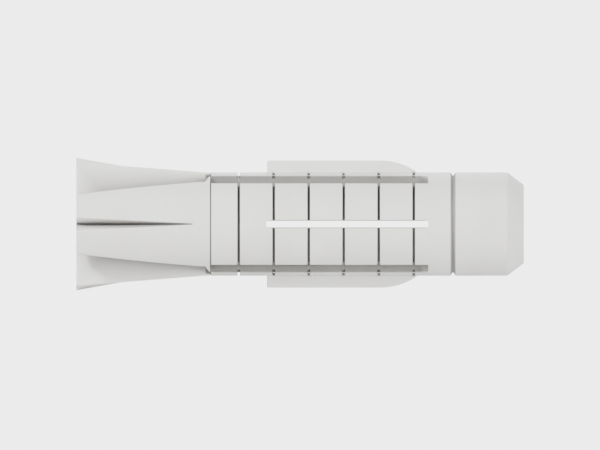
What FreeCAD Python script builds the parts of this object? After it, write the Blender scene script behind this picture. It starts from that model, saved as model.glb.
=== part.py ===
"""Nylon expansion plug for a wall: one moulding, divided at its living hinges and changes of section.

Millimetres, +Z up. The origin is the centre of the mouth, and +X runs from the mouth into the wall.
Angles round the plug are measured from its front, -Y, upward towards +Z.

From mouth to nose the plug has four leaves that close together as it enters its hole (two barbed
tongues between two cheeks), the webs and collars that they hinge on, a cage of six strips that the
screw spreads, two fins, and a plain round nose with the screw's pilot bore.
"""

import FreeCAD
import Part

import math
import os

# Lengths along the plug, in order from the mouth
mouth_length = 12.5
web_length = 0.5
leg_root_length = 5.4
strip_length = 15.65
tail_length = 2.15
neck_length = 0.5
nose_land_length = 5.0
nose_chamfer_length = 1.6

# Radii
body_radius = 5.0
cage_bore_radius = 1.7
pilot_bore_radius = 1.35
nose_end_radius = 3.8

# Mouth: half heights and half widths are from the plug's axis
mouth_flare = 0.98
tongue_width = 2.6
tongue_inner_rim = 2.7
tongue_inner_root = 1.7
barb_length = 4.36
barb_height = 0.45
cheek_edge_rim = 2.85
cheek_edge_root = 4.11
cheek_inner_rim = 2.55
cheek_inner_root = 1.65
cheek_groove_width = 1.14
cheek_groove_depth = 1.6
cheek_groove_length = 11.33
web_thickness = 0.45

# Slots and ring grooves of the cage
slot_angle = 60.75
slot_width = 1.37
centre_slot_width = 0.62
ring_count = 6
ring_pitch = 3.386
ring_setback = 2.72
ring_width = 0.29
ring_floor_width = 0.145
ring_depth = 0.32

# Fins
fin_height = 1.15
fin_thickness = 0.62
fin_tip_setback = 1.04
fin_end_radius = 6.23

# Neck groove in front of the nose
neck_depth = 0.32

# Clearances between pieces that move apart
hinge_gap = 0.05
strip_gap = 0.05

# Stations along +X
ring_start = mouth_length
leg_start = ring_start + web_length
strip_start = leg_start + leg_root_length
tail_start = strip_start + strip_length
neck_start = tail_start + tail_length
nose_start = neck_start + neck_length
chamfer_start = nose_start + nose_land_length
nose_end = chamfer_start + nose_chamfer_length

# Cutting shapes reach this far past what they cut
reach = 2 * (body_radius + mouth_flare + barb_height)

AXIS = FreeCAD.Vector(1, 0, 0)
ORIGIN = FreeCAD.Vector(0, 0, 0)


def point(x, y, z):
    return FreeCAD.Vector(x, y, z)


def direction(angle):
    """Unit vector across the plug at an angle, in degrees, up from its front."""
    turn = math.radians(angle)
    return point(0, -math.cos(turn), math.sin(turn))


def between(rim, root, x):
    """The value at x of a measure that runs straight from the mouth's rim to its root."""
    return rim + (root - rim) * x / mouth_length


def flare_radius(x):
    return between(body_radius + mouth_flare, body_radius, x)


def prism(corners, travel):
    """The solid that a flat outline sweeps along a straight travel."""
    outline = Part.makePolygon(corners + corners[:1])
    return Part.Face(outline).extrude(travel)


def revolved(profile):
    """The solid of revolution about +X of (x, radius) corners."""
    corners = [point(x, 0, radius) for x, radius in profile]
    outline = Part.makePolygon(corners + corners[:1])
    return Part.Face(outline).revolve(ORIGIN, AXIS, 360)


def closed_solid(faces):
    """The solid bounded by flat faces, each a list of corners."""
    walls = [Part.Face(Part.makePolygon(corners + corners[:1])) for corners in faces]
    return Part.Solid(Part.Shell(walls))


def side_outline(x_from, low_from, high_from, x_to, low_to, high_to, half_width):
    """A four-cornered outline in the XZ plane, as thick as twice half_width across Y."""
    corners = [
        point(x_from, -half_width, low_from),
        point(x_to, -half_width, low_to),
        point(x_to, -half_width, high_to),
        point(x_from, -half_width, high_from),
    ]
    return prism(corners, point(0, 2 * half_width, 0))


def mirrored(shape, normal):
    """The shape's mirror image across a plane through the plug's axis."""
    return shape.mirror(ORIGIN, normal)


def tongue():
    """Upper tongue: a flat-sided wedge that rises towards the rim."""
    root = mouth_length - hinge_gap
    return side_outline(
        0,
        tongue_inner_rim,
        flare_radius(0),
        root,
        between(tongue_inner_rim, tongue_inner_root, root),
        flare_radius(root),
        tongue_width / 2,
    )


def barb():
    """Roof on the upper tongue's outer face, highest at the rim and running out to nothing."""
    half = tongue_width / 2
    rim_left = point(0, -half, flare_radius(0))
    rim_right = point(0, half, flare_radius(0))
    crest = point(0, 0, flare_radius(0) + barb_height)
    end_left = point(barb_length, -half, flare_radius(barb_length))
    end_right = point(barb_length, half, flare_radius(barb_length))
    return closed_solid(
        [
            [rim_left, crest, rim_right],
            [rim_left, end_left, crest],
            [rim_right, crest, end_right],
            [crest, end_left, end_right],
            [rim_left, rim_right, end_right, end_left],
        ]
    )


def cheek_groove():
    """V that opens the front cheek's outer face at the rim and runs out before its root."""
    tip = point(cheek_groove_length, -flare_radius(cheek_groove_length), 0)
    bottom = point(0, -flare_radius(0) + cheek_groove_depth, 0)
    flank = point(0, -cheek_groove_depth, cheek_groove_width / 2)
    other_flank = point(0, -cheek_groove_depth, -cheek_groove_width / 2)
    # The cut is taller and longer than the groove by these factors, so that it clears the cheek
    taller = 1.5
    longer = 1.1
    base = [bottom, bottom + flank * taller, bottom + other_flank * taller]
    low, up, down = [tip + (corner - tip) * longer for corner in base]
    return closed_solid([[low, down, up], [low, up, tip], [up, down, tip], [down, low, tip]])


def cheek():
    """Front cheek: the flared outside of the mouth between the tongues."""
    root = mouth_length - hinge_gap
    cone = Part.makeCone(flare_radius(0), flare_radius(root), root, ORIGIN, AXIS)
    edge_root = between(cheek_edge_rim, cheek_edge_root, root)
    sides = side_outline(
        0, -cheek_edge_rim, cheek_edge_rim, root, -edge_root, edge_root, reach
    )
    outside = prism(
        [
            point(0, -cheek_inner_rim, -reach),
            point(root, -between(cheek_inner_rim, cheek_inner_root, root), -reach),
            point(root, -reach, -reach),
            point(0, -reach, -reach),
        ],
        point(0, 0, 2 * reach),
    )
    return cone.common(sides).common(outside).cut(cheek_groove())


def ring_slice(y_from, y_to):
    """What is left between two heights along Y of the round disc behind the four leaves."""
    disc = Part.makeCylinder(body_radius, web_length, point(ring_start, 0, 0), AXIS)
    corner = point(ring_start, y_from, -reach)
    return disc.common(Part.makeBox(web_length, y_to - y_from, 2 * reach, corner))


def collar():
    """Front collar: the solid section that the front cheek hinges on."""
    return ring_slice(-reach, -cheek_inner_root)


def web():
    """Upper web: the thin plate over the bore that the upper tongue hinges on."""
    core = Part.makeCylinder(
        body_radius - web_thickness, web_length, point(ring_start, 0, 0), AXIS
    )
    upper_half = Part.makeBox(
        web_length, 2 * reach, reach, point(ring_start, -reach, 0)
    )
    return ring_slice(-cheek_inner_root, cheek_inner_root).common(upper_half).cut(core)


def cage_blank(x_from, x_to):
    """Bored round bar with the ring grooves that fall between two stations."""
    outer = [(x_from, body_radius)]
    for index in range(ring_count):
        middle = leg_start + ring_setback + index * ring_pitch
        if x_from < middle - ring_width / 2 and middle + ring_width / 2 < x_to:
            outer += [
                (middle - ring_width / 2, body_radius),
                (middle - ring_floor_width / 2, body_radius - ring_depth),
                (middle + ring_floor_width / 2, body_radius - ring_depth),
                (middle + ring_width / 2, body_radius),
            ]
    outer.append((x_to, body_radius))
    return revolved([(x_from, cage_bore_radius)] + outer + [(x_to, cage_bore_radius)])


def sector(x_from, x_to, low_angle, low_slot, high_angle, high_slot):
    """The wedge of the round between two slots, each given by its angle and its width."""
    low, high = direction(low_angle), direction(high_angle)
    span = math.radians(high_angle - low_angle)
    # Where the two slot walls would meet, measured along each slot from the plug's axis
    along_low = (high_slot / 2 + low_slot / 2 * math.cos(span)) / math.sin(span)
    corner = low * along_low + low.cross(AXIS) * (low_slot / 2)
    corners = [corner, corner + low * reach, corner + (low + high) * reach, corner + high * reach]
    start = point(x_from, 0, 0)
    return prism([c + start for c in corners], point(x_to - x_from, 0, 0))


def cage_piece(x_from, x_to, low_angle, low_slot, high_angle, high_slot):
    blank = cage_blank(x_from, x_to)
    return blank.common(sector(x_from, x_to, low_angle, low_slot, high_angle, high_slot))


def leg_root():
    """Front leg root: the solid section between a cheek and its two strips."""
    return cage_piece(leg_start, strip_start, -slot_angle, slot_width, slot_angle, slot_width)


def side_strip():
    """Upper front strip, between the centre slot and an outer slot."""
    x_from, x_to = strip_start + strip_gap, tail_start - strip_gap
    return cage_piece(x_from, x_to, 0, centre_slot_width, slot_angle, slot_width)


def fin_strip():
    """Top strip, which runs the whole length of the cage and carries a fin."""
    x_from, x_to = leg_start + strip_gap, tail_start - strip_gap
    return cage_piece(x_from, x_to, slot_angle, slot_width, 180 - slot_angle, slot_width)


def fin(seat):
    """Top fin: flat along its crest, then rounded down to the strip that it is moulded on."""
    half = fin_thickness / 2
    crest = body_radius + fin_height
    drop = fin_height + ring_depth
    turn = math.acos(1 - drop / fin_end_radius)
    run_out = math.sqrt(2 * fin_end_radius * fin_height - fin_height**2)
    bend = tail_start - fin_tip_setback - run_out

    def on_end(angle):
        return point(
            bend + fin_end_radius * math.sin(angle),
            -half,
            crest - fin_end_radius * (1 - math.cos(angle)),
        )

    heel = point(strip_start + strip_gap, -half, crest - drop)
    top = point(strip_start + strip_gap, -half, crest)
    rounded = Part.Arc(on_end(0), on_end(turn / 2), on_end(turn)).toShape()
    edges = [
        Part.makeLine(heel, top),
        Part.makeLine(top, on_end(0)),
        rounded,
        Part.makeLine(on_end(turn), heel),
    ]
    blade = Part.Face(Part.Wire(edges)).extrude(point(0, fin_thickness, 0))
    return blade.cut(seat)


def tail_ring():
    """Ring where the strips meet again."""
    return revolved(
        [
            (tail_start, pilot_bore_radius),
            (tail_start, body_radius),
            (neck_start, body_radius),
            (neck_start, pilot_bore_radius),
        ]
    )


def nose_neck():
    """Shallow V groove round the plug."""
    return revolved(
        [
            (neck_start, pilot_bore_radius),
            (neck_start, body_radius),
            ((neck_start + nose_start) / 2, body_radius - neck_depth),
            (nose_start, body_radius),
            (nose_start, pilot_bore_radius),
        ]
    )


def nose_cap():
    """Plain round nose with a chamfered end, bored through for the screw."""
    return revolved(
        [
            (nose_start, pilot_bore_radius),
            (nose_start, body_radius),
            (chamfer_start, body_radius),
            (nose_end, nose_end_radius),
            (nose_end, pilot_bore_radius),
        ]
    )


def model():
    """Every piece by name. The plug is symmetric top to bottom and front to back."""
    across_top = point(0, 0, 1)
    across_front = point(0, 1, 0)
    upper = {"tongue": tongue(), "barb": barb(), "web": web(), "strip": fin_strip()}
    upper["fin"] = fin(upper["strip"])
    front = {"cheek": cheek(), "collar": collar(), "leg_root": leg_root()}
    corner = side_strip()
    pieces = {"tail_ring": tail_ring(), "nose_neck": nose_neck(), "nose_cap": nose_cap()}
    for name, shape in upper.items():
        pieces[name + "_top"] = shape
        pieces[name + "_bottom"] = mirrored(shape, across_top)
    for name, shape in front.items():
        pieces[name + "_front"] = shape
        pieces[name + "_back"] = mirrored(shape, across_front)
    for side, shape in (("front", corner), ("back", mirrored(corner, across_front))):
        pieces[f"strip_{side}_upper"] = shape
        pieces[f"strip_{side}_lower"] = mirrored(shape, across_top)
    return pieces


os.makedirs("parts", exist_ok=True)
for node, shape in model().items():
    solids = shape.Solids
    whole = solids[0] if len(solids) == 1 else shape
    whole.exportStep(f"parts/{node}.step")
    print(f"{node}: {len(solids)} solid, {shape.Volume:.2f} mm3, valid {shape.isValid()}")
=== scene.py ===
"""Nylon wall plug: finished mouldings, their material, and a plain studio.

The frame gives every station. Shapes are worked out in millimetres and made in metres.
+X runs from the mouth to the nose, +Z is up, and angles go from the front, -Y, up towards +Z.
"""

import math

import bpy
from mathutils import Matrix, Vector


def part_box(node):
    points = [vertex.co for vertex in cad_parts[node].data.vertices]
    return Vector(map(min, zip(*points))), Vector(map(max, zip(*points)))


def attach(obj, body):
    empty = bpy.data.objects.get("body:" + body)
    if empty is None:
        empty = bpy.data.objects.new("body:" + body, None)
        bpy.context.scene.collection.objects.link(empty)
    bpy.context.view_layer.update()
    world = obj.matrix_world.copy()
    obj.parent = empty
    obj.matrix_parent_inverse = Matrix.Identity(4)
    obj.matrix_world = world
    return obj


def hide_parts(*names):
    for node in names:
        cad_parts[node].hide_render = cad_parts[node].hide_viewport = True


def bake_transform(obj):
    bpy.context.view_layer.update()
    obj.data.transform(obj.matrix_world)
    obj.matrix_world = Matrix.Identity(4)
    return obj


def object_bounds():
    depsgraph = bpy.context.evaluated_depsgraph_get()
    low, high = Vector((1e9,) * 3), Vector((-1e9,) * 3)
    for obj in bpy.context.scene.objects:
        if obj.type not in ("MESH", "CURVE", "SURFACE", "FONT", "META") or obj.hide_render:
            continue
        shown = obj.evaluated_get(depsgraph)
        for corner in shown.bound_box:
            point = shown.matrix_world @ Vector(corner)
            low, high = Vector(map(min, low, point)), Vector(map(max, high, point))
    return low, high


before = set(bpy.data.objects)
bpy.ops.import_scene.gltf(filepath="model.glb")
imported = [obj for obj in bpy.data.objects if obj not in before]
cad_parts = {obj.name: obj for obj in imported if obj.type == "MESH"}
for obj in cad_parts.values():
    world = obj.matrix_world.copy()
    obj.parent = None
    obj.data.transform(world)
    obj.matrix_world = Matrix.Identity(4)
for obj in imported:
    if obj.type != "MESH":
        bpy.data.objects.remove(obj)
cad_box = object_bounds()

MM = 0.001


def corner_mm(node, which, axis):
    """One coordinate of a node's box in millimetres: which is 0 for lowest and 1 for highest."""
    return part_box(node)[which]["xyz".index(axis)] / MM


# Stations along the plug
RING_START = corner_mm("collar_front", 0, "x")
LEG_START = corner_mm("collar_front", 1, "x")
STRIP_START = corner_mm("leg_root_front", 1, "x")
TAIL_START = corner_mm("tail_ring", 0, "x")
NECK_START = corner_mm("nose_neck", 0, "x")
NOSE_START = corner_mm("nose_cap", 0, "x")
NOSE_END = corner_mm("nose_cap", 1, "x")
FIN_START = corner_mm("fin_top", 0, "x")
FIN_TIP = corner_mm("fin_top", 1, "x")
BARB_END = corner_mm("barb_top", 1, "x")

# Radii and heights
BODY_R = corner_mm("nose_cap", 1, "z")
RIM_R = corner_mm("tongue_top", 1, "z")
CREST_R = corner_mm("barb_top", 1, "z")
FIN_TOP = corner_mm("fin_top", 1, "z")
CAGE_BORE = 1.7
PILOT_BORE = 1.35
NOSE_CHAMFER = 1.6
NOSE_END_R = 3.8

# Mouth
TONGUE_HALF = corner_mm("tongue_top", 1, "y")
TONGUE_INNER_RIM = 2.7
TONGUE_INNER_ROOT = 1.7
WEB = 0.45
CHEEK_EDGE_RIM = 2.85
CHEEK_EDGE_ROOT = corner_mm("cheek_front", 1, "z")
CHEEK_INNER_RIM = 2.55
CHEEK_INNER_ROOT = 1.65
COLLAR_END_ANGLE = 72.0
SEAT_THICKNESS = 0.35
CHEEK_EDGE_BOW = 0.1
V_WIDTH = 1.14
V_DEPTH = 1.6
V_LENGTH = 11.33
V_CREASE = 0.06
V_END_HALF_WIDTH = 0.004
BARB_LEAST_RISE = 0.0005

# Cage
SLOT_ANGLE = 60.75
SLOT_WIDTH = 1.37
CENTRE_SLOT_WIDTH = 0.62
RING_COUNT = 6
RING_PITCH = 3.386
RING_SETBACK = 2.72
RING_WIDTH = 0.29
RING_DEPTH = 0.32
GROOVE_FLOOR = 0.6
HAIRLINE_WIDTH = 0.14
HAIRLINE_DEPTH = 0.07
NECK_DEPTH = 0.32
NECK_LIP = 0.02

# Fins
FIN_HALF = corner_mm("fin_top", 1, "y")
FIN_END_R = 6.23
# How far the fin's foot lies under the strip's skin, and its crest where the fin has run out
FIN_SINK = 0.3
FIN_CREST_SINK = 0.05

# Small radii of the moulding
LEAST_R = 0.005
EDGE_R = 0.12
FINE_R = 0.05
FIN_R = 0.14
CREASE_R = 0.01
# The share of FINE_R left on the V groove's edges where the groove has closed
CLOSED_V_SHARE = 0.1
NECK_FLOOR_R = 0.04
CHAMFER_R = 0.1
NOSE_END_EDGE_R = 0.12
# The largest share of a side that the curve at one of its ends may take
MOST_TRIM = 0.45
# Edges that turn by more degrees than this are kept crisp
CRISP_ANGLE = 35

# Stations: how many even steps each length gets, and the steps over a rounded end or half a groove
CAGE_STEPS = 14
CHEEK_STEPS = 26
TONGUE_STEPS = 24
FIN_STEPS = 30
GROOVE_STEPS = 8
RING_STEPS = 5
WEB_STEPS = 4
END_STATIONS = (0.01, 0.03, 0.06, 0.09)
FIN_END_STATIONS = (0.01, 0.03, 0.06, 0.1)
NEAR_V_END = 0.1
NEAR_BARB_END = 0.05
TOLERANCE = 1e-9

# Studio dome: where its bright horizon begins to fade and has faded, as sines of the elevation
HORIZON_BAND = (0.04, 0.16)
HORIZON_STRENGTH = 4.5
DOME_STRENGTH = 0.6

# Lights: name, place and size in metres, and power in watts
LIGHTS = (
    ("key", (-0.26, -0.30, 0.24), 0.10, 3.6),
    ("fill", (0.34, -0.30, 0.05), 0.16, 1.6),
    ("back", (0.10, 0.30, 0.26), 0.22, 1.2),
)

# Floor and camera, in metres except for the camera's height, which is in millimetres
FLOOR_RADIUS = 2.0
CAMERA_HEIGHT = -0.087
CAMERA_DISTANCE = 0.3
CAMERA_SPAN = 0.05803

# Painted shade, darkest in fine grooves and deep recesses: the depth from which a wide recess is at
# its darkest, at the rim and from the ring on
RECESS_DEPTH_RIM = 3.0
RECESS_DEPTH = 0.4
# How dark the painted shade gets at each place, from 0 to 1
RECESS_SHARE = 0.55
GROOVE_SHARE = 1.0
EDGE_SHARE = 0.7
NOTCH_SHARE = 0.8
# How far the V groove's painted shade reaches, in its half widths, at the rim and from the ring on
V_SHADE_REACH = 0.55
V_SHADE_REACH_ROOT = 2.5
# The share of an edge's radius that its painted shade reaches, each way from a slot's wall
EDGE_SHADE_REACH = 0.7
# Nothing shallower than this is marked
FINE_MARK = 0.012

# Noise in the nylon: scale, detail and roughness
CLOUDS = (180, 3, 0.55)
GLOSS_PATCHES = (900, 4, 0.6)
MOULD_GRAIN = (9000, 2, 0.5)
FLOW_WAVES = (420, 2, 0.5)

# Heights of the mould's grain and of the broad waves in metres
GRAIN_HEIGHT = 0.00001
WAVE_HEIGHT = 0.00006

# Colours
NYLON_DULL = (0.70, 0.69, 0.655)
NYLON_CLEAR = (0.78, 0.775, 0.75)
# The two ends of the painted shade: unshaded, and the darkest shade painted into grooves and
# recesses
UNSHADED_COLOUR = (1.0, 1.0, 1.0)
PAINTED_SHADE_COLOUR = (0.10, 0.095, 0.09)
FLOOR_COLOUR = (0.86, 0.86, 0.86)

# The two mirrored copies of what is made once, at the front or at the top
FRONT_AND_BACK = (("front", {}), ("back", {"mirror_y": True}))
TOP_AND_BOTTOM = (("top", {}), ("bottom", {"mirror_z": True}))

RINGS = [LEG_START + RING_SETBACK + i * RING_PITCH for i in range(RING_COUNT)]


# ---------------------------------------------------------------- outlines


def on_round(radius, angle):
    """(y, z) of a point at an angle in degrees round the plug."""
    turn = math.radians(angle)
    return (-radius * math.cos(turn), radius * math.sin(turn))


def line_side(start, end, count):
    """A straight side: its length, how to read it from 0 to 1, and how many points it gets."""
    length = math.dist(start, end)
    return length, lambda t: tuple(a + (b - a) * t for a, b in zip(start, end)), count


def arc_side(radius, start, end, count):
    """A side that runs round the plug's axis between two angles, given like a straight one."""
    length = abs(math.radians(end - start)) * radius
    return length, lambda t: on_round(radius, start + (end - start) * t), count


def on_corner(a, corner, b, t):
    """The point at t, from 0 to 1, on the curve that rounds a corner between a and b."""
    return tuple(
        (1 - t) ** 2 * p + 2 * t * (1 - t) * q + t * t * r for p, q, r in zip(a, corner, b)
    )


def outline(sides, radii, drawn_in=0.0, steps=4):
    """A closed outline of sides, with a small curve of the given radius where each side starts.

    A section that is drawn in, at a rounded end of its piece, has its curves that much smaller.
    """
    points = []
    total = len(sides)
    trims = []
    for index, radius in enumerate(radii):
        shorter = min(sides[index - 1][0], sides[index][0])
        trims.append(min(max(radius - drawn_in, LEAST_R), MOST_TRIM * shorter))
    for index, (length, read, count) in enumerate(sides):
        start = trims[index] / length
        end = 1 - trims[(index + 1) % total] / length
        points += [read(start + (end - start) * k / (count - 1)) for k in range(count)]
        after = sides[(index + 1) % total]
        a, corner, b = read(end), read(1.0), after[1](trims[(index + 1) % total] / after[0])
        points += [on_corner(a, corner, b, k / steps) for k in range(1, steps)]
    return points


# ---------------------------------------------------------------- painted shade


def depth_inside(x, y, z):
    """How deep a point lies under the plug's plain outer shape."""
    chamfer = NOSE_END_R + (NOSE_END - x) * (BODY_R - NOSE_END_R) / NOSE_CHAMFER
    return min(x, NOSE_END - x, min(flare(x), chamfer) - math.hypot(y, z))


def in_groove(x, depth):
    """Whether a point is inside one of the fine grooves that run round the skin."""
    if not FINE_MARK < depth < RING_DEPTH + FINE_MARK:
        return False
    if any(abs(x - ring) < RING_WIDTH / 2 for ring in RINGS):
        return True
    return depth < HAIRLINE_DEPTH + FINE_MARK and abs(x - LEG_START) < HAIRLINE_WIDTH / 2


def v_painted_shade(x, y, z, depth):
    """Painted shade along the bottom of a cheek's V groove, over more of its width towards the tip.
    """
    if x >= V_LENGTH or depth < FINE_MARK or abs(y) < CHEEK_INNER_RIM:
        return 0.0
    reach = v_half_width(x) * taper(V_SHADE_REACH, V_SHADE_REACH_ROOT, x)
    return GROOVE_SHARE * max(0.0, 1 - abs(z) / reach)


def on_slot_edge(x, y, z, depth):
    """Whether a point is on the rounded edge of one of the cage's slots."""
    if not LEG_START < x < TAIL_START or depth > EDGE_R:
        return False
    slots = [(SLOT_ANGLE, SLOT_WIDTH)]
    if x > STRIP_START:
        slots.append((0.0, CENTRE_SLOT_WIDTH))
    for angle, width in slots:
        turn = math.radians(angle)
        across = abs(abs(z) * math.cos(turn) - abs(y) * math.sin(turn))
        if abs(across - width / 2) < EDGE_SHADE_REACH * EDGE_R:
            return True
    return False


def recess(x, y, z):
    """How much painted shade a point gets, from 0 to 1: most in a fine groove, and in wide recesses
    by depth.
    """
    depth = depth_inside(x, y, z)
    if in_groove(x, depth):
        return GROOVE_SHARE
    in_neck = NECK_START < x < NOSE_START and depth > 0
    # Painted shade along the slots' rounded edges and in the neck's groove
    if on_slot_edge(x, y, z, depth) or in_neck:
        return EDGE_SHARE
    # Painted shade on everything below the skin beside the collar, the collar seats included
    beside_collar = RING_START <= x <= LEG_START and depth > FINE_MARK
    if beside_collar:
        return NOTCH_SHARE
    wide = min(max(depth / taper(RECESS_DEPTH_RIM, RECESS_DEPTH, x), 0.0), 1.0)
    return max(RECESS_SHARE * wide, v_painted_shade(x, y, z, depth))


# ---------------------------------------------------------------- meshes


def make_object(name, verts, faces):
    """A smooth mesh object in metres, with sharp edges kept crisp and its recesses marked for
    painted shade.
    """
    mesh = bpy.data.meshes.new(name)
    mesh.from_pydata([tuple(c * MM for c in v) for v in verts], [], faces)
    marks = mesh.attributes.new("recess", "FLOAT", "POINT")
    marks.data.foreach_set("value", [recess(*v) for v in verts])
    mesh.validate()
    mesh.polygons.foreach_set("use_smooth", [True] * len(mesh.polygons))
    mesh.set_sharp_from_angle(angle=math.radians(CRISP_ANGLE))
    thing = bpy.data.objects.new(name, mesh)
    bpy.context.scene.collection.objects.link(thing)
    return thing


def loft(name, sections, mirror_y=False, mirror_z=False):
    """A closed skin through (x, outline) sections that all have as many points."""
    verts = []
    faces = []
    count = len(sections[0][1])
    for x, points in sections:
        for y, z in points:
            verts.append((x, -y if mirror_y else y, -z if mirror_z else z))
    for ring in range(len(sections) - 1):
        for i in range(count):
            a, b = ring * count + i, ring * count + (i + 1) % count
            faces.append((a, b, b + count, a + count))
    last = (len(sections) - 1) * count
    faces.append(tuple(range(count))[::-1])
    faces.append(tuple(range(last, last + count)))
    first = sections[0][1]
    area = sum(
        first[i - 1][0] * first[i][1] - first[i][0] * first[i - 1][1] for i in range(count)
    )
    if (area > 0) == (mirror_y != mirror_z):
        faces = [face[::-1] for face in faces]
    return make_object(name, verts, faces)


def lathe(name, profile, turns=128):
    """A closed skin of revolution about +X of (x, radius) points, the last joined to the first."""
    verts = []
    faces = []
    count = len(profile)
    for k in range(turns):
        for x, radius in profile:
            y, z = on_round(radius, 360 * k / turns)
            verts.append((x, y, z))
    for k in range(turns):
        for i in range(count):
            a, b = k * count + i, k * count + (i + 1) % count
            c, d = ((k + 1) % turns) * count + (i + 1) % count, ((k + 1) % turns) * count + i
            faces.append((a, b, c, d))
    return make_object(name, verts, faces)


def rounded_profile(corners, radii, steps=6):
    """(x, radius) corners of a closed profile, each turned into a small curve."""
    points = []
    total = len(corners)
    for i, radius in enumerate(radii):
        before, corner, after = corners[i - 1], corners[i], corners[(i + 1) % total]
        if radius == 0:
            points.append(corner)
            continue
        a_len, b_len = math.dist(before, corner), math.dist(corner, after)
        a_t, b_t = min(radius / a_len, 0.5), min(radius / b_len, 0.5)
        a = tuple(c + (p - c) * a_t for c, p in zip(corner, before))
        b = tuple(c + (p - c) * b_t for c, p in zip(corner, after))
        points += [on_corner(a, corner, b, k / steps) for k in range(steps + 1)]
    return points


# ---------------------------------------------------------------- the moulding's sections


def flare(x):
    """Radius of the mouth's outside, straight from the rim to the ring."""
    return RIM_R + (BODY_R - RIM_R) * min(x, RING_START) / RING_START


def taper(rim, root, x):
    """A measure that runs straight from the rim to the ring and then stays as it is."""
    return rim + (root - rim) * min(x, RING_START) / RING_START


def notch(x, middle, width, depth):
    """Depth at x of a groove with sloping walls and softened edges."""
    across = abs(x - middle) / (width / 2)
    if across >= 1:
        return 0.0
    if across <= GROOVE_FLOOR:
        return depth
    t = (1 - across) / (1 - GROOVE_FLOOR)
    return depth * t * t * (3 - 2 * t)


def cage_radius(x):
    """Radius of the cage's skin, with its ring grooves and its hairline."""
    cut = sum(notch(x, middle, RING_WIDTH, RING_DEPTH) for middle in RINGS)
    return BODY_R - cut - notch(x, LEG_START, HAIRLINE_WIDTH, HAIRLINE_DEPTH)


def cage_stations(x_from, x_to):
    """Stations between two ends, close together where a groove is."""
    spots = {x_from, x_to}
    length = x_to - x_from
    spots.update(x_from + length * k / CAGE_STEPS for k in range(CAGE_STEPS + 1))
    for middle, width in [(m, RING_WIDTH) for m in RINGS] + [(LEG_START, HAIRLINE_WIDTH)]:
        steps = range(-GROOVE_STEPS - 1, GROOVE_STEPS + 2)
        spots.update(middle + width / 2 * k / GROOVE_STEPS for k in steps)
    return sorted(x for x in spots if x_from - TOLERANCE <= x <= x_to + TOLERANCE)


def sector_outline(outer, low_angle, low_slot, high_angle, high_slot, arc_points=28):
    """Section of the cage between two slots."""

    def low_at(radius):
        return low_angle + math.degrees(math.asin(low_slot / 2 / radius))

    def high_at(radius):
        return high_angle - math.degrees(math.asin(high_slot / 2 / radius))

    sides = [
        arc_side(outer, low_at(outer), high_at(outer), arc_points),
        line_side(
            on_round(outer, high_at(outer)), on_round(CAGE_BORE, high_at(CAGE_BORE)), 6
        ),
        arc_side(CAGE_BORE, high_at(CAGE_BORE), low_at(CAGE_BORE), 9),
        line_side(on_round(CAGE_BORE, low_at(CAGE_BORE)), on_round(outer, low_at(outer)), 6),
    ]
    return outline(sides, [EDGE_R, EDGE_R, FINE_R, FINE_R])


def cage_part(name, x_from, x_to, low_angle, low_slot, high_angle, high_slot, **mirror):
    """A length of the cage between two slots."""
    sections = []
    for x in cage_stations(x_from, x_to):
        points = sector_outline(cage_radius(x), low_angle, low_slot, high_angle, high_slot)
        sections.append((x, points))
    return loft(name, sections, **mirror)


def end_rounding(x, start, radius):
    """How far the skin is drawn in at x, near an end whose edge has this radius."""
    inside = abs(x - start)
    if inside >= radius:
        return 0.0
    return radius - math.sqrt(max(0.0, radius**2 - (radius - inside) ** 2))


def v_half_width(x):
    """Half width of the cheek's V groove, which ends as a narrow crease."""
    fade = 1 - x / V_LENGTH
    return V_WIDTH / 2 * fade + V_CREASE if fade > 0 else V_END_HALF_WIDTH


def cheek_outline(x):
    """Section of the front cheek, with its V groove, and of the collar that joins it to the ring."""
    drawn_in = end_rounding(x, 0.0, EDGE_R)
    skin = flare(x) - notch(x, LEG_START, HAIRLINE_WIDTH, HAIRLINE_DEPTH)
    outer = skin - drawn_in
    into = max(0.0, (x - RING_START) / (LEG_START - RING_START))
    along = min(x / RING_START, 1.0)
    # The edge bows out by CHEEK_EDGE_BOW halfway along
    edge = taper(CHEEK_EDGE_RIM, CHEEK_EDGE_ROOT, x) + 4 * CHEEK_EDGE_BOW * along * (1 - along)
    edge -= drawn_in
    inner = taper(CHEEK_INNER_RIM, CHEEK_INNER_ROOT, x) + drawn_in
    edge_angle = math.degrees(math.asin(edge / outer))
    edge_angle += (COLLAR_END_ANGLE - edge_angle) * into
    inner_edge = edge + (math.sqrt((BODY_R - WEB) ** 2 - inner**2) - edge) * into
    fade = max(0.0, 1 - x / V_LENGTH)
    v_depth = V_DEPTH * fade + (V_CREASE if fade > 0 else 0.0)
    narrowed = 1 - drawn_in / v_depth if drawn_in > 0 else 1.0
    v_angle = math.degrees(math.asin(v_half_width(x) * narrowed / outer))
    bottom = (v_depth - skin, 0.0)
    low_end, high_end = on_round(outer, -edge_angle), on_round(outer, edge_angle)
    low_in, high_in = (-inner, -inner_edge), (-inner, inner_edge)
    sides = [
        line_side(low_in, low_end, 6),
        arc_side(outer, -edge_angle, -v_angle, 16),
        line_side(on_round(outer, -v_angle), bottom, 5),
        line_side(bottom, on_round(outer, v_angle), 5),
        arc_side(outer, v_angle, edge_angle, 16),
        line_side(high_end, high_in, 6),
        line_side(high_in, low_in, 14),
    ]
    crisp = FINE_R * (1 if fade > 0 else CLOSED_V_SHARE)
    return outline(sides, [EDGE_R, EDGE_R, crisp, CREASE_R, crisp, EDGE_R, EDGE_R], drawn_in)


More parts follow.
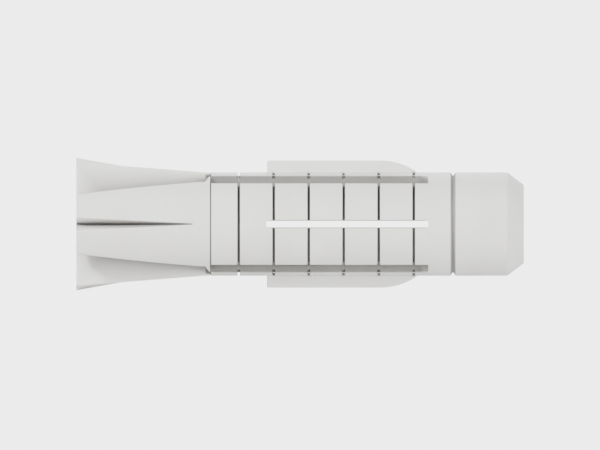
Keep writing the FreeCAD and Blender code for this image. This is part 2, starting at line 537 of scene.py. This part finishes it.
def make_cheek(name, **mirror):
    """A cheek from rim to root, then the collar that it hinges on."""
    spots = {0.0, *END_STATIONS, EDGE_R, RING_START, LEG_START}
    spots.update(RING_START * k / CHEEK_STEPS for k in range(1, CHEEK_STEPS))
    spots.update((V_LENGTH - NEAR_V_END, V_LENGTH, V_LENGTH + NEAR_V_END))
    ring = LEG_START - RING_START
    spots.update(RING_START + ring * k / RING_STEPS for k in range(RING_STEPS))
    spots.update(
        LEG_START - HAIRLINE_WIDTH / 2 * k / GROOVE_STEPS for k in range(GROOVE_STEPS + 1)
    )
    sections = []
    for x in sorted(spots):
        sections.append((x, cheek_outline(x)))
    return loft(name, sections, **mirror)


def make_collar_seat(name, **mirror):
    """The collar's inner plate, which closes the notch beside the cheek's root from the side; like
    all below the skin beside the collar, it is darkened with painted shade.
    """
    top = BODY_R - WEB
    front, back = -CHEEK_INNER_ROOT - SEAT_THICKNESS, -CHEEK_INNER_ROOT
    corners = [(front, -top), (front, top), (back, top), (back, -top)]
    sides = [line_side(corners[i], corners[(i + 1) % 4], 6) for i in range(4)]
    points = outline(sides, [FINE_R] * 4)
    return loft(name, [(RING_START, points), (LEG_START, points)], **mirror)


def tongue_outline(x, inner):
    """Section of the upper tongue, with its barb, or of its web."""
    drawn_in = end_rounding(x, 0.0, EDGE_R)
    outer = flare(x) - drawn_in
    crest = outer + max((CREST_R - RIM_R) * (1 - x / BARB_END), BARB_LEAST_RISE)
    half, inner = TONGUE_HALF - drawn_in, inner + drawn_in
    low_left, low_right = (-half, inner), (half, inner)
    up_left, up_right = (-half, outer), (half, outer)
    sides = [
        line_side(low_right, low_left, 12),
        line_side(low_left, up_left, 10),
        line_side(up_left, (0.0, crest), 8),
        line_side((0.0, crest), up_right, 8),
        line_side(up_right, low_right, 10),
    ]
    return outline(sides, [EDGE_R, EDGE_R, EDGE_R * 0.6, FINE_R, EDGE_R * 0.6], drawn_in)


def make_tongue(name, **mirror):
    """A tongue from rim to root, then the thin web that it hinges on."""
    spots = {0.0, *END_STATIONS, EDGE_R}
    spots.update((BARB_END - NEAR_BARB_END, BARB_END, BARB_END + NEAR_BARB_END))
    root = RING_START - LEAST_R
    spots.update(root * k / TONGUE_STEPS for k in range(1, TONGUE_STEPS + 1))
    sections = []
    for x in sorted(spots):
        sections.append((x, tongue_outline(x, taper(TONGUE_INNER_RIM, TONGUE_INNER_ROOT, x))))
    underside = BODY_R - WEB
    sections.append((RING_START, tongue_outline(RING_START, underside - EDGE_R)))
    for k in range(1, WEB_STEPS + 1):
        turn = math.radians(90 * k / WEB_STEPS)
        inner = underside - EDGE_R * (1 - math.sin(turn))
        x = RING_START + EDGE_R * (1 - math.cos(turn))
        sections.append((x, tongue_outline(x, inner)))
    for k in range(1, WEB_STEPS + 1):
        x = RING_START + EDGE_R + (LEG_START - RING_START - EDGE_R) * k / WEB_STEPS
        sections.append((x, tongue_outline(x, underside)))
    return loft(name, sections, **mirror)


def fin_crest(x):
    """Height of the fin at x: flat, then rounded down to the strip."""
    height = FIN_TOP - BODY_R
    run_out = math.sqrt(2 * FIN_END_R * height - height**2)
    past = x - (FIN_TIP - run_out)
    if past <= 0:
        return FIN_TOP
    return FIN_TOP - FIN_END_R + math.sqrt(max(0.0, FIN_END_R**2 - past**2))


def fin_outline(x):
    """Section of the upper fin, whose foot is sunk in its strip."""
    drawn_in = end_rounding(x, FIN_START, FIN_R)
    top = max(fin_crest(x), BODY_R - FIN_CREST_SINK) - drawn_in
    foot = BODY_R - FIN_SINK
    left, right = drawn_in - FIN_HALF, FIN_HALF - drawn_in
    sides = [
        line_side((right, foot), (left, foot), 4),
        line_side((left, foot), (left, top), 8),
        line_side((left, top), (right, top), 5),
        line_side((right, top), (right, foot), 8),
    ]
    return outline(sides, [CREASE_R, CREASE_R, FIN_R, FIN_R], drawn_in)


def make_fin(name, x_from, x_to, **mirror):
    """A length of the upper fin."""
    spots = {x_from, x_to}
    spots.update(x_from + (x_to - x_from) * k / FIN_STEPS for k in range(FIN_STEPS + 1))
    if x_from == FIN_START:
        spots.update(FIN_START + d for d in (*FIN_END_STATIONS, FIN_R))
    sections = []
    for x in sorted(spots):
        sections.append((x, fin_outline(x)))
    return loft(name, sections, **mirror)


# ---------------------------------------------------------------- material


def nylon(name):
    """Natural nylon: slightly clouded, faintly translucent, with a fine matt mould texture."""
    material = bpy.data.materials.new(name)
    material.use_nodes = True
    nodes, links = material.node_tree.nodes, material.node_tree.links
    nodes.clear()
    out = nodes.new("ShaderNodeOutputMaterial")
    shader = nodes.new("ShaderNodeBsdfPrincipled")
    links.new(shader.outputs["BSDF"], out.inputs["Surface"])
    place = nodes.new("ShaderNodeTexCoord")

    def noise(scale, detail, roughness):
        texture = nodes.new("ShaderNodeTexNoise")
        texture.inputs["Scale"].default_value = scale
        texture.inputs["Detail"].default_value = detail
        texture.inputs["Roughness"].default_value = roughness
        links.new(place.outputs["Object"], texture.inputs["Vector"])
        return texture

    def ramp(source, low, high, low_colour, high_colour):
        node = nodes.new("ShaderNodeValToRGB")
        first, last = node.color_ramp.elements
        first.position, first.color = low, (*low_colour, 1)
        last.position, last.color = high, (*high_colour, 1)
        links.new(source, node.inputs["Fac"])
        return node

    clouds = noise(*CLOUDS)
    tone = ramp(clouds.outputs["Fac"], 0.3, 0.7, NYLON_DULL, NYLON_CLEAR)
    # Painted shade: the recess attribute darkens the base colour in grooves, along slot edges, in
    # the neck and in recesses
    marks = nodes.new("ShaderNodeAttribute")
    marks.attribute_name = "recess"
    painted_shade = ramp(marks.outputs["Fac"], 0.0, 1.0, UNSHADED_COLOUR, PAINTED_SHADE_COLOUR)
    darken = nodes.new("ShaderNodeMix")
    darken.data_type = "RGBA"
    darken.blend_type = "MULTIPLY"
    darken.inputs["Factor"].default_value = 1.0
    links.new(tone.outputs["Color"], darken.inputs["A"])
    links.new(painted_shade.outputs["Color"], darken.inputs["B"])
    links.new(darken.outputs["Result"], shader.inputs["Base Color"])
    patches = noise(*GLOSS_PATCHES)
    gloss = nodes.new("ShaderNodeMapRange")
    gloss.inputs["From Min"].default_value = 0.3
    gloss.inputs["From Max"].default_value = 0.7
    gloss.inputs["To Min"].default_value = 0.40
    gloss.inputs["To Max"].default_value = 0.56
    links.new(patches.outputs["Fac"], gloss.inputs["Value"])
    links.new(gloss.outputs["Result"], shader.inputs["Roughness"])
    grain = noise(*MOULD_GRAIN)
    fine = nodes.new("ShaderNodeBump")
    fine.inputs["Strength"].default_value = 0.25
    fine.inputs["Distance"].default_value = GRAIN_HEIGHT
    links.new(grain.outputs["Fac"], fine.inputs["Height"])
    flow = noise(*FLOW_WAVES)
    broad = nodes.new("ShaderNodeBump")
    broad.inputs["Strength"].default_value = 0.3
    broad.inputs["Distance"].default_value = WAVE_HEIGHT
    links.new(flow.outputs["Fac"], broad.inputs["Height"])
    links.new(fine.outputs["Normal"], broad.inputs["Normal"])
    links.new(broad.outputs["Normal"], shader.inputs["Normal"])
    shader.inputs["IOR"].default_value = 1.53
    shader.inputs["Subsurface Weight"].default_value = 0.12
    shader.inputs["Subsurface Radius"].default_value = (1.0, 0.9, 0.7)
    shader.inputs["Subsurface Scale"].default_value = 0.0006
    return material


NYLON = nylon("natural_nylon")


def finish_piece(piece, *nodes):
    """Give a piece its material, and hide the CAD nodes it stands for."""
    piece.data.materials.append(NYLON)
    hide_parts(*nodes)


# ---------------------------------------------------------------- building


def build_cheeks():
    for side, mirror in FRONT_AND_BACK:
        cheek = make_cheek(f"cheek_{side}_moulding", **mirror)
        finish_piece(cheek, f"cheek_{side}", f"collar_{side}")
        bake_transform(cheek)
        seat = make_collar_seat(f"collar_{side}_seat", **mirror)
        finish_piece(seat, f"collar_{side}")
        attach(seat, "core")


def build_tongues():
    for side, mirror in TOP_AND_BOTTOM:
        tongue = make_tongue(f"tongue_{side}_moulding", **mirror)
        finish_piece(tongue, f"tongue_{side}", f"barb_{side}", f"web_{side}")
        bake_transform(tongue)


def build_leg_roots():
    for side, mirror in FRONT_AND_BACK:
        root = cage_part(
            f"leg_root_{side}_moulding",
            LEG_START,
            STRIP_START,
            -SLOT_ANGLE,
            SLOT_WIDTH,
            SLOT_ANGLE,
            SLOT_WIDTH,
            **mirror,
        )
        finish_piece(root, f"leg_root_{side}")
        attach(root, "core")


def bow(piece):
    """Bakes the piece's placement into its mesh."""
    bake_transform(piece)


def build_strips():
    fin_slots = (SLOT_ANGLE, SLOT_WIDTH, 180 - SLOT_ANGLE, SLOT_WIDTH)
    side_slots = (0.0, CENTRE_SLOT_WIDTH, SLOT_ANGLE, SLOT_WIDTH)
    strips = [
        ("strip_top", LEG_START, fin_slots, {}),
        ("strip_bottom", LEG_START, fin_slots, {"mirror_z": True}),
        ("strip_front_upper", STRIP_START, side_slots, {}),
        ("strip_front_lower", STRIP_START, side_slots, {"mirror_z": True}),
        ("strip_back_upper", STRIP_START, side_slots, {"mirror_y": True}),
        ("strip_back_lower", STRIP_START, side_slots, {"mirror_y": True, "mirror_z": True}),
    ]
    for node, start, slots, mirror in strips:
        middle = (start + TAIL_START) / 2
        for half, x_from, x_to, fixed in (
            ("fore", start, middle, start),
            ("aft", middle, TAIL_START, TAIL_START),
        ):
            piece = cage_part(f"{node}_{half}", x_from, x_to, *slots, **mirror)
            finish_piece(piece, node)
            bow(piece)


def build_fins():
    middle = (LEG_START + TAIL_START) / 2
    for side, mirror in TOP_AND_BOTTOM:
        for half, x_from, x_to, fixed in (
            ("fore", FIN_START, middle, LEG_START),
            ("aft", middle, FIN_TIP, TAIL_START),
        ):
            piece = make_fin(f"fin_{side}_{half}", x_from, x_to, **mirror)
            finish_piece(piece, f"fin_{side}")
            bow(piece)


def build_nose():
    """The tail ring, the neck and the nose, each turned from its profile."""
    tail = [
        (TAIL_START, PILOT_BORE),
        (TAIL_START, BODY_R),
        (NECK_START, BODY_R),
        (NECK_START, PILOT_BORE),
    ]
    neck = [
        (NECK_START, PILOT_BORE),
        (NECK_START, BODY_R),
        (NECK_START + NECK_LIP, BODY_R - NECK_LIP),
        ((NECK_START + NOSE_START) / 2, BODY_R - NECK_DEPTH),
        (NOSE_START - NECK_LIP, BODY_R - NECK_LIP),
        (NOSE_START, BODY_R),
        (NOSE_START, PILOT_BORE),
    ]
    cap = [
        (NOSE_START, PILOT_BORE),
        (NOSE_START, BODY_R),
        (NOSE_END - NOSE_CHAMFER, BODY_R),
        (NOSE_END, NOSE_END_R),
        (NOSE_END, PILOT_BORE),
    ]
    for node, corners, radii in (
        ("tail_ring", tail, [EDGE_R, 0, 0, 0]),
        ("nose_neck", neck, [0, 0, 0, NECK_FLOOR_R, 0, 0, 0]),
        ("nose_cap", cap, [0, 0, CHAMFER_R, NOSE_END_EDGE_R, NOSE_END_EDGE_R]),
    ):
        piece = lathe(f"{node}_moulding", rounded_profile(corners, radii))
        finish_piece(piece, node)
        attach(piece, "core")


# ---------------------------------------------------------------- studio


def flat_colour(name, colour, roughness):
    """A plain material for what isn't part of the object."""
    material = bpy.data.materials.new(name)
    material.use_nodes = True
    shader = material.node_tree.nodes["Principled BSDF"]
    shader.inputs["Base Color"].default_value = (*colour, 1)
    shader.inputs["Roughness"].default_value = roughness
    return material


def build_floor():
    """Pale floor under the plug's lowest point."""
    rim = []
    for angle in range(0, 360, 5):
        turn = math.radians(angle)
        rim.append((FLOOR_RADIUS * math.cos(turn), FLOOR_RADIUS * math.sin(turn), cad_box[0].z))
    mesh = bpy.data.meshes.new("floor")
    mesh.from_pydata(rim, [], [tuple(range(len(rim)))])
    floor = bpy.data.objects.new("floor", mesh)
    bpy.context.scene.collection.objects.link(floor)
    mesh.materials.append(flat_colour("pale_floor", FLOOR_COLOUR, 0.7))


def add_light(name, place, aim, size, power):
    """A soft square light that faces what it is aimed at."""
    data = bpy.data.lights.new(name, "AREA")
    data.size = size
    data.energy = power
    light = bpy.data.objects.new(name, data)
    light.location = place
    direction = Vector(aim) - Vector(place)
    light.rotation_mode = "QUATERNION"
    light.rotation_quaternion = direction.to_track_quat("-Z", "Y")
    bpy.context.scene.collection.objects.link(light)


def build_studio():
    middle = ((cad_box[0].x + cad_box[1].x) / 2, 0, 0)
    build_floor()
    for name, place, size, power in LIGHTS:
        add_light(name, place, middle, size, power)
    build_dome()


def build_dome():
    """Soft light from all round: a white band at the horizon under a dimmer dome."""
    world = bpy.data.worlds.new("studio")
    bpy.context.scene.world = world
    world.use_nodes = True
    nodes, links = world.node_tree.nodes, world.node_tree.links
    sky = nodes["Background"]
    sky.inputs["Color"].default_value = (1, 1, 1, 1)
    place = nodes.new("ShaderNodeTexCoord")
    split = nodes.new("ShaderNodeSeparateXYZ")
    ramp = nodes.new("ShaderNodeMapRange")
    ramp.inputs["From Min"].default_value = HORIZON_BAND[0]
    ramp.inputs["From Max"].default_value = HORIZON_BAND[1]
    ramp.inputs["To Min"].default_value = HORIZON_STRENGTH
    ramp.inputs["To Max"].default_value = DOME_STRENGTH
    links.new(place.outputs["Generated"], split.inputs["Vector"])
    links.new(split.outputs["Z"], ramp.inputs["Value"])
    links.new(ramp.outputs["Result"], sky.inputs["Strength"])


def build_camera():
    """A level side view from the front, with no perspective."""
    data = bpy.data.cameras.new("camera")
    data.type = "ORTHO"
    data.ortho_scale = CAMERA_SPAN
    camera = bpy.data.objects.new("camera", data)
    camera.location = ((cad_box[0].x + cad_box[1].x) / 2, -CAMERA_DISTANCE, CAMERA_HEIGHT * MM)
    camera.rotation_euler = (math.radians(90), 0, 0)
    data.clip_start = 0.01
    data.clip_end = 5
    bpy.context.scene.collection.objects.link(camera)
    bpy.context.scene.camera = camera


build_cheeks()
build_tongues()
build_leg_roots()
build_strips()
build_fins()
build_nose()
build_studio()
build_camera()
